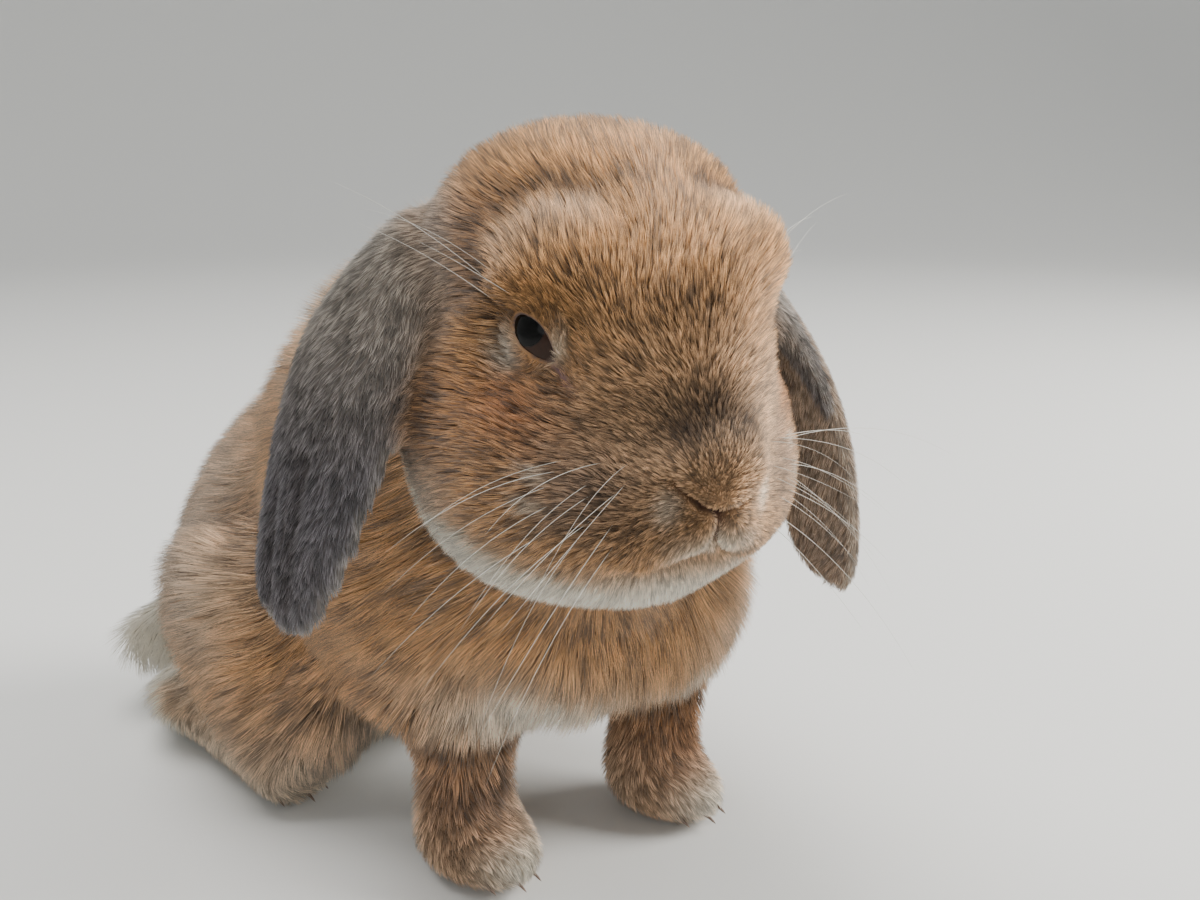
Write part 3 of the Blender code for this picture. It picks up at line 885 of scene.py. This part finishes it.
LOCK_POINTS = 4
LOCK_FACES = np.array(((0, 1, 3), (1, 2, 3), (2, 0, 3)))
LOCK_FLATNESS = 0.6
LOCK_LENGTHS = (0.72, 1.18)
LOCK_RISES = (0.70, 1.12)
LOCK_WIDTHS = (0.7, 1.3)
STEEPEST = 0.85
BURIED = 0.12
TICKED_SHARE = {"head": 0.5, "ear": 0.2, "limb": 0.2, "body": 0.14, "tail": 0.0}
LOCK_PATCH = np.array(((-0.0015, -0.0015), (0.0, -0.0015), (0.0015, -0.0015), (0.0, 0.0015)))


def locks_mesh(name, roots, tips, sides, ups, widths, tones, marks, spots):
    """One mesh of locks. Each has three points round its root, which draw in to its tip."""
    count = len(roots)
    verts = np.empty((count, LOCK_POINTS, 3), np.float32)
    for corner in range(3):
        angle = math.tau * corner / 3 + math.pi / 2
        offset = sides * math.cos(angle) + ups * LOCK_FLATNESS * math.sin(angle)
        verts[:, corner] = roots + offset * widths[:, None] / 2
    verts[:, 3] = tips
    starts = np.arange(count) * LOCK_POINTS
    faces = (LOCK_FACES[None] + starts[:, None, None]).reshape(-1, 3)
    mesh = bpy.data.meshes.new(name)
    mesh.vertices.add(count * LOCK_POINTS)
    mesh.vertices.foreach_set("co", verts.ravel())
    mesh.loops.add(len(faces) * 3)
    mesh.loops.foreach_set("vertex_index", faces.astype(np.int32).ravel())
    mesh.polygons.add(len(faces))
    mesh.polygons.foreach_set("loop_start", np.arange(0, len(faces) * 3, 3, dtype=np.int32))
    mesh.update(calc_edges=True)
    mesh.shade_smooth()
    strand = np.ones((count, LOCK_POINTS, 4))
    strand[:, :, 0] = (0.0, 0.0, 0.0, 1.0)
    strand[:, :, 1:] = tones[:, None, :]
    add_colors(mesh, "strand", strand)
    add_colors(mesh, "markings", np.repeat(marks[:, None, :], LOCK_POINTS, axis=1))
    layer = mesh.uv_layers.new(name="OFBake")
    uvs = (spots[:, None, :] + LOCK_PATCH[None]).reshape(-1, 2)[faces.ravel()]
    layer.uv.foreach_set("vector", uvs.astype(np.float32).ravel())
    obj = bpy.data.objects.new(name, mesh)
    bpy.context.scene.collection.objects.link(obj)
    return obj


def ranged(nodes, links, value, low, high, new_low, new_high, kind="SMOOTHSTEP"):
    """A value moved from one range to another."""
    node = nodes.new("ShaderNodeMapRange")
    node.interpolation_type = kind
    names = ("Value", "From Min", "From Max", "To Min", "To Max")
    sockets = [node.inputs[name] for name in names]
    fed(links, sockets, (value, low, high, new_low, new_high))
    return node.outputs[0]


def shaded(nodes, links, color, level):
    """A colour made lighter or darker by a level."""
    grey = nodes.new("ShaderNodeCombineColor")
    fed(links, grey.inputs, (level, level, level))
    return mixed(nodes, links, 1.0, color, grey.outputs[0], "MULTIPLY")


def coat_material(name, root_shade, tone_low, tone_high, roughness):
    """Banded hairs: dark at the root, for the hair's own dark base and as painted shade deep
    between the hairs, the coat's colour above, some ticked dark at the tip.
    """
    material, nodes, links, shader = new_material(name)
    color = marked_color(nodes, links)
    along, tone, tick, _ = attribute_parts(nodes, links, "strand")
    hair_tone = ranged(nodes, links, tone, 0.0, 1.0, tone_low, tone_high, "LINEAR")
    # Darker towards the root: partly the hair's own dark base, partly painted shade deep in the
    # coat between the hairs.
    from_root = ranged(nodes, links, along, 0.0, 0.85, root_shade, 1.0)
    level = worked(nodes, links, "MULTIPLY", hair_tone, from_root)
    _, _, cream, _ = attribute_parts(nodes, links, "markings")
    even = worked(nodes, links, "MULTIPLY", cream, 0.45)
    lacking = worked(nodes, links, "SUBTRACT", 1.15, level)
    level = worked(nodes, links, "MULTIPLY_ADD", lacking, even, level)
    color = shaded(nodes, links, color, level)
    ticked = ranged(nodes, links, along, 0.45, 0.95, 0.0, 1.0)
    ticked = worked(nodes, links, "MULTIPLY", ticked, tick)
    not_cream = worked(nodes, links, "SUBTRACT", 1.0, cream)
    ticked = worked(nodes, links, "MULTIPLY", ticked, not_cream)
    color = mixed(nodes, links, ticked, color, SMUT_AND_SHADE)
    patchy = noise(nodes, links, 55.0, 3.0)
    patchy = worked(nodes, links, "MULTIPLY_ADD", patchy, 0.5, 0.75)
    color = shaded(nodes, links, color, patchy)
    links.new(color, shader.inputs["Base Color"])
    shader.inputs["Roughness"].default_value = roughness
    shader.inputs["Specular IOR Level"].default_value = 0.35
    shader.inputs["Sheen Weight"].default_value = 0.15
    shader.inputs["Sheen Roughness"].default_value = 0.45
    return material


tan_coat = coat_material("fawn_fur", 0.13, 0.30, 2.5, 0.62)
ear_fur = coat_material("slate_ear_fur", 0.30, 0.35, 2.3, 0.66)
white_fur = coat_material("white_fur", 0.80, 0.90, 1.30, 0.60)


def grow(group, weights):
    """Roots, leans and clumps the locks of one group, and returns what their mesh needs."""
    count = LOCK_COUNTS[group]
    faces, corners = rooted(weights, count)
    roots = at_roots(points, faces, corners)
    out = unit(at_roots(soft_normals, faces, corners))
    way = unit(flat_to(at_roots(lie, faces, corners), out))
    across = np.cross(out, way)
    swirl = 0.30 * waves(roots, 0.030, 5) + 0.16 * waves(roots, 0.008, 6)
    swirl = swirl + rng.normal(0.0, 0.13, count)
    way = way * np.cos(swirl)[:, None] + across * np.sin(swirl)[:, None]
    long = at_roots(length, faces, corners)[:, 0] * MM * rng.uniform(*LOCK_LENGTHS, count)
    rise = at_roots(depth, faces, corners)[:, 0] * MM * rng.uniform(*LOCK_RISES, count)
    rise = np.minimum(rise, STEEPEST * long)
    reach = np.sqrt(long ** 2 - rise ** 2)
    roots = roots - out * (BURIED * rise)[:, None]
    rise = rise * (1.0 + BURIED)
    tips = roots + way * reach[:, None] + out * rise[:, None]
    centers = rng.choice(count, count // CLUMP_SIZE[group], replace=False)
    tree = KDTree(len(centers))
    for index, root in enumerate(roots[centers].tolist()):
        tree.insert(root, index)
    tree.balance()
    owner = centers[np.array([tree.find(root)[1] for root in roots.tolist()])]
    pull = rng.uniform(*CLUMP_PULL[group], count)[:, None]
    tips = tips + (tips[owner] - tips) * pull
    tips[:, 2] = np.maximum(tips[:, 2], TIP_CLEAR)
    sides = unit(np.cross(out, tips - roots))
    ups = unit(np.cross(tips - roots, sides))
    widths = at_roots(width, faces, corners)[:, 0] * MM * rng.uniform(*LOCK_WIDTHS, count)
    own = rng.uniform(size=count)
    tone = 0.6 * rng.uniform(size=count)[owner] + 0.4 * own
    tone = np.clip((tone - 0.5) * 1.5 + 0.45 + 0.10 * waves(roots, 0.016, 8), 0.0, 1.0)
    tick = (rng.uniform(size=count) < TICKED_SHARE[group]) * rng.uniform(0.5, 1.0, count)
    tones = np.stack((tone, tick, own), axis=1)
    marks = np.clip(at_roots(markings, faces, corners), 0.0, 1.0)
    spots = np.einsum("ijk,ij->ik", skin_map[corner_loops[faces]], corners)
    return roots, tips, sides, ups, widths, tones, marks, spots


def fur(group, names, weights, material):
    """Makes one group's locks, cut from the top down into pieces of equal size."""
    grown = grow(group, weights)
    highest_first = np.argsort(-grown[0][:, 2], kind="stable")
    for name, chosen in zip(names, np.array_split(highest_first, len(names))):
        piece = locks_mesh(name, *(part[chosen] for part in grown))
        piece.data.materials.append(material)
        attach(piece, "root")


limbs = share["foreleg"] + share["forepaw"] + share["hindfoot"]
body = share["trunk"] + share["neck"] + share["thigh"]
groups = np.stack((share["head"], share["ear"], limbs, body, 1.6 * share["tail"]))
on_head, on_ear, on_limb, on_body, on_tail = smoothstep(0.6, 1.0, groups / groups.max(axis=0))
on_limb = on_limb * (1.0 + 0.8 * (share["forepaw"] + share["hindfoot"]))
on_head = on_head * from_nose(places, FACE_DENSITY) * kept
fur("head", ("fur_crown", "fur_cheeks", "fur_muzzle"), on_head, tan_coat)
fur("ear", ("fur_ears",), on_ear, ear_fur)
fur("limb", ("fur_legs", "fur_feet"), on_limb, tan_coat)
fur("body", ("fur_back", "fur_shoulders", "fur_flanks"), on_body, tan_coat)
fur("tail", ("fur_tail",), on_tail, white_fur)

# ------------------------------------------------------------------ eyes
# Two glossy globes, nearly black, with a wide dark pupil and a ring of brown
# iris. They sit in the sockets behind the lids.
PUPIL_WAY = {-1: (-0.86, -0.33, 0.40), 1: (0.86, -0.33, 0.40)}
CORNEA_START = 0.80
CORNEA_BULGE = 0.035
EYE_WHITE = (0.16, 0.12, 0.10, 1.0)
IRIS_OUTER = (0.030, 0.012, 0.006, 1.0)
IRIS_INNER = (0.036, 0.015, 0.008, 1.0)
PUPIL = (0.002, 0.002, 0.002, 1.0)
STREAK = (0.0, 0.0, 0.0, 1.0)


def eye_material():
    material, nodes, links, shader = new_material("eye_globe")
    place = nodes.new("ShaderNodeTexCoord")
    split = nodes.new("ShaderNodeSeparateXYZ")
    links.new(place.outputs["Object"], split.inputs["Vector"])
    ring = nodes.new("ShaderNodeValToRGB")
    height = worked(nodes, links, "DIVIDE", split.outputs["Z"], EYE_RADIUS * MM)
    links.new(height, ring.inputs["Fac"])
    stops = ring.color_ramp.elements
    stops[0].position = 0.55
    stops[0].color = EYE_WHITE
    stops[1].position = 0.66
    stops[1].color = IRIS_OUTER
    for position, color in ((0.90, IRIS_INNER), (0.925, PUPIL)):
        stop = stops.new(position)
        stop.color = color
    streaks = worked(nodes, links, "MULTIPLY", noise(nodes, links, 900.0, 2.0), 0.35)
    color = mixed(nodes, links, streaks, ring.outputs["Color"], STREAK)
    links.new(color, shader.inputs["Base Color"])
    shader.inputs["Roughness"].default_value = 0.05
    shader.inputs["IOR"].default_value = 1.34
    shader.inputs["Specular IOR Level"].default_value = 0.32
    return material


globe_material = eye_material()
for side, side_name in ((-1, "right"), (1, "left")):
    bm = bmesh.new()
    bmesh.ops.create_uvsphere(bm, u_segments=48, v_segments=32, radius=EYE_RADIUS * MM)
    for vert in bm.verts:
        bulge = smoothstep(CORNEA_START, 1.0, vert.co.z / (EYE_RADIUS * MM))
        vert.co *= 1.0 + CORNEA_BULGE * float(bulge)
    mesh = bpy.data.meshes.new("eyeball_" + side_name)
    bm.to_mesh(mesh)
    bm.free()
    mesh.shade_smooth()
    mesh.materials.append(globe_material)
    globe = bpy.data.objects.new("eyeball_" + side_name, mesh)
    globe.location = middle("eye_" + side_name)
    gaze = HEAD_TURN @ np.array(PUPIL_WAY[side])
    globe.rotation_euler = Vector(gaze).to_track_quat("Z", "Y").to_euler()
    bpy.context.scene.collection.objects.link(globe)
    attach(globe, "root")
    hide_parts("eye_" + side_name)

# ------------------------------------------------------------------ whiskers
# Long stiff pale hairs: rows of them on both sides of the muzzle, which droop
# at their ends, and a few over each eye. Each is one fine tapered tube.
WHISKER_RADIUS = 0.075 * MM
WHISKER_SIDES = 4
WHISKER_STEPS = 12
WHISKER_ROWS = ((-3.0, 0.12), (-7.0, -0.06), (-11.0, -0.26), (-15.5, -0.50), (-20.0, -0.85))
WHISKER_SPOTS = ((17.0, -0.62), (23.0, -0.30), (29.0, 0.10))
WHISKER_FRONT = -46.0
WHISKER_LENGTHS = (36.0, 76.0)
WHISKER_DROOP = 0.28
WHISKER_DARK = (0.62, 0.58, 0.50, 1.0)
WHISKER_PALE = (0.90, 0.88, 0.82, 1.0)
BROW_HAIRS = ((31.0, -10.0, 23.0), (33.0, -7.0, 21.0), (29.0, -14.0, 24.0), (34.0, -10.0, 17.0))
BROW_WAY = (0.8, 0.5, 0.55)
BROW_LENGTHS = (22.0, 40.0)
BROW_DROOP = 0.18
SHORTER = 0.92
STRAIGHTER = 0.9
ROOM = 12.0 * MM
FLOOR_CLEAR = 1.0 * MM

skin_tree = BVHTree.FromPolygons(points.tolist(), corner_verts.tolist())


def hair_line(root, way, reach, droop, curl):
    """A bending line from the root, which sags more towards its end."""
    steps = np.linspace(0.0, 1.0, WHISKER_STEPS + 1)[:, None]
    line = root + way * reach * steps
    line = line + np.array((0.0, 0.0, -1.0)) * droop * steps ** 2.2
    return line + curl * steps ** 2


def add_tube(verts, faces, line, radius):
    """Adds one closed tube that thins towards the end of a line and closes in a point."""
    start = len(verts)
    for step, point in enumerate(line[:-1]):
        way = unit((line[step + 1] - point)[None])[0]
        side = unit(np.cross(way, (0.3, 0.2, 1.0))[None])[0]
        up = np.cross(way, side)
        thick = radius * (1.0 - 0.85 * step / len(line))
        for corner in range(WHISKER_SIDES):
            angle = math.tau * corner / WHISKER_SIDES
            verts.append(point + (side * math.cos(angle) + up * math.sin(angle)) * thick)
    verts.append(line[-1])
    rings = len(line) - 1
    for ring in range(rings - 1):
        for corner in range(WHISKER_SIDES):
            a = start + ring * WHISKER_SIDES + corner
            b = start + ring * WHISKER_SIDES + (corner + 1) % WHISKER_SIDES
            faces.append((a, b, b + WHISKER_SIDES, a + WHISKER_SIDES))
    last = start + (rings - 1) * WHISKER_SIDES
    for corner in range(WHISKER_SIDES):
        faces.append((last + corner, last + (corner + 1) % WHISKER_SIDES, len(verts) - 1))
    faces.append(tuple(start + corner for corner in reversed(range(WHISKER_SIDES))))


def object_from(name, verts, faces, material):
    mesh = bpy.data.meshes.new(name)
    mesh.from_pydata([tuple(vert) for vert in verts], [], faces)
    mesh.shade_smooth()
    mesh.materials.append(material)
    obj = bpy.data.objects.new(name, mesh)
    bpy.context.scene.collection.objects.link(obj)
    return obj


low_room = np.array(cad_box[0]) - ROOM
high_room = np.array(cad_box[1]) + ROOM
low_room[2] = FLOOR_CLEAR
hair_rng = np.random.default_rng(7)
verts = []
faces = []
for side in (-1, 1):
    starts = []
    for height, tilt in WHISKER_ROWS:
        for aside, turn_back in WHISKER_SPOTS:
            back = WHISKER_FRONT + 0.5 * (aside - WHISKER_SPOTS[0][0])
            place = np.array((side * aside, back, height)) + hair_rng.normal(0.0, 0.9, 3)
            way = np.array((side, turn_back, tilt)) + hair_rng.normal(0.0, 0.10, 3)
            starts.append((place, way, hair_rng.uniform(*WHISKER_LENGTHS), WHISKER_DROOP))
    for place in BROW_HAIRS:
        place = np.array(place) * (side, 1.0, 1.0)
        way = np.array(BROW_WAY) * (side, 1.0, 1.0) + hair_rng.normal(0.0, 0.12, 3)
        starts.append((place, way, hair_rng.uniform(*BROW_LENGTHS), BROW_DROOP))
    for place, way, reach, droop in starts:
        root = np.array(skin_tree.find_nearest(Vector(HEAD_CENTRE + HEAD_TURN @ place * MM))[0])
        way = unit(out_of_head(way)[None])[0]
        curl = hair_rng.normal(0.0, 3.0, 3) * MM
        line = hair_line(root, way, reach * MM, reach * droop * MM, curl)
        while ((line < low_room) | (line > high_room)).any():
            reach *= SHORTER
            line = hair_line(root, way, reach * MM, reach * droop * MM, curl * STRAIGHTER)
        add_tube(verts, faces, line, WHISKER_RADIUS * hair_rng.uniform(0.75, 1.1))
material, nodes, links, shader = new_material("whisker_hair")
tip_shade = noise(nodes, links, 120.0, 2.0)
color = mixed(nodes, links, tip_shade, WHISKER_DARK, WHISKER_PALE)
links.new(color, shader.inputs["Base Color"])
shader.inputs["Roughness"].default_value = 0.35
whiskers = object_from("whiskers", verts, faces, material)
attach(whiskers, "root")

# ------------------------------------------------------------------ claws
# Short curved claws of dark horn, one to a toe, that show just beyond the fur.
CLAW_LENGTH = 6.5 * MM
CLAW_RADIUS = 1.0 * MM
CLAW_HEIGHT = 4.5 * MM
CLAW_SUNK = 1.5 * MM
CLAW_STEPS = 6
CLAW_RISE = 0.12
CLAW_CURVE = 0.42
CLAW_CLEAR = 0.6 * MM
HORN_DARK = (0.10, 0.06, 0.045, 1.0)
HORN_PALE = (0.30, 0.21, 0.16, 1.0)
TOE_PLACES = (0.22, 0.41, 0.60, 0.79)

verts = []
faces = []
for paw in ("forepaw_left", "forepaw_right", "hindfoot_left", "hindfoot_right"):
    low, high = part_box(paw)
    for toe in TOE_PLACES:
        ahead = Vector((low.x + (high.x - low.x) * toe, low.y - 0.02, CLAW_HEIGHT))
        root = skin_tree.ray_cast(ahead, Vector((0.0, 1.0, 0.0)))[0]
        if root is None:
            continue
        root = np.array(root) + (0.0, CLAW_SUNK, 0.0)
        steps = np.linspace(0.0, 1.0, CLAW_STEPS + 1)[:, None]
        line = root + np.array((0.0, -1.0, CLAW_RISE)) * CLAW_LENGTH * steps
        line = line - np.array((0.0, 0.0, CLAW_CURVE)) * CLAW_LENGTH * steps ** 2
        line[:, 2] = np.maximum(line[:, 2], CLAW_CLEAR)
        add_tube(verts, faces, line, CLAW_RADIUS)
material, nodes, links, shader = new_material("claw_horn")
streak = noise(nodes, links, 700.0, 2.0, (1.0, 0.2, 1.0))
color = mixed(nodes, links, streak, HORN_DARK, HORN_PALE)
links.new(color, shader.inputs["Base Color"])
shader.inputs["Roughness"].default_value = 0.38
claws = object_from("claws", verts, faces, material)
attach(claws, "root")
